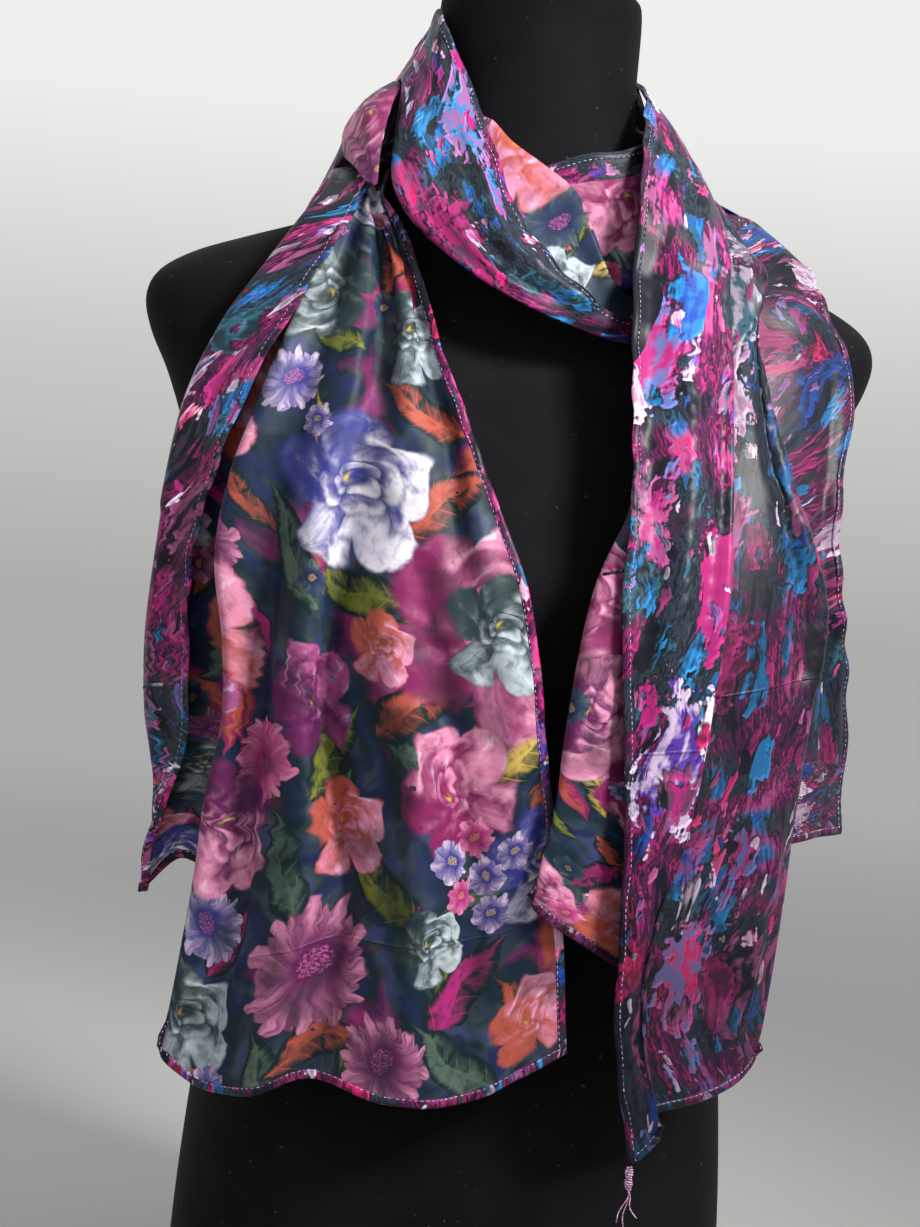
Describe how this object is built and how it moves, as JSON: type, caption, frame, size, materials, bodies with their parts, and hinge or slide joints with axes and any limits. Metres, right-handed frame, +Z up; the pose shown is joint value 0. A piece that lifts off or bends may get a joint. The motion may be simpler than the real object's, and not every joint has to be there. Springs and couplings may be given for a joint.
{
  "type": "satin scarf wound on a dress form",
  "caption": "Long double-faced printed satin scarf wound round the neck of a limbless black dress form, both ends hanging in soft folds down its front.",
  "frame": {"origin": "centre of the dress form's flat base", "axes": "+Z up, the form faces -Y, +X to the right of someone who looks at its front"},
  "size_m": [0.42, 0.2888, 0.753],
  "materials": {
    "form_cover": "matte black woven cover",
    "floral_face": "satin, printed with flowers",
    "stroke_face": "glossy satin, printed with broad paint strokes",
    "whipping_thread": "spun thread"
  },
  "bodies": {
    "root": {"dress_form": "form_cover", "left_end": "floral_face", "right_end": "stroke_face", "throat_band": "stroke_face", "side_cap": "floral_face", "nape_outer": "stroke_face", "nape_inner": "floral_face", "corner_knot": "whipping_thread"}
  },
  "joints": []
}
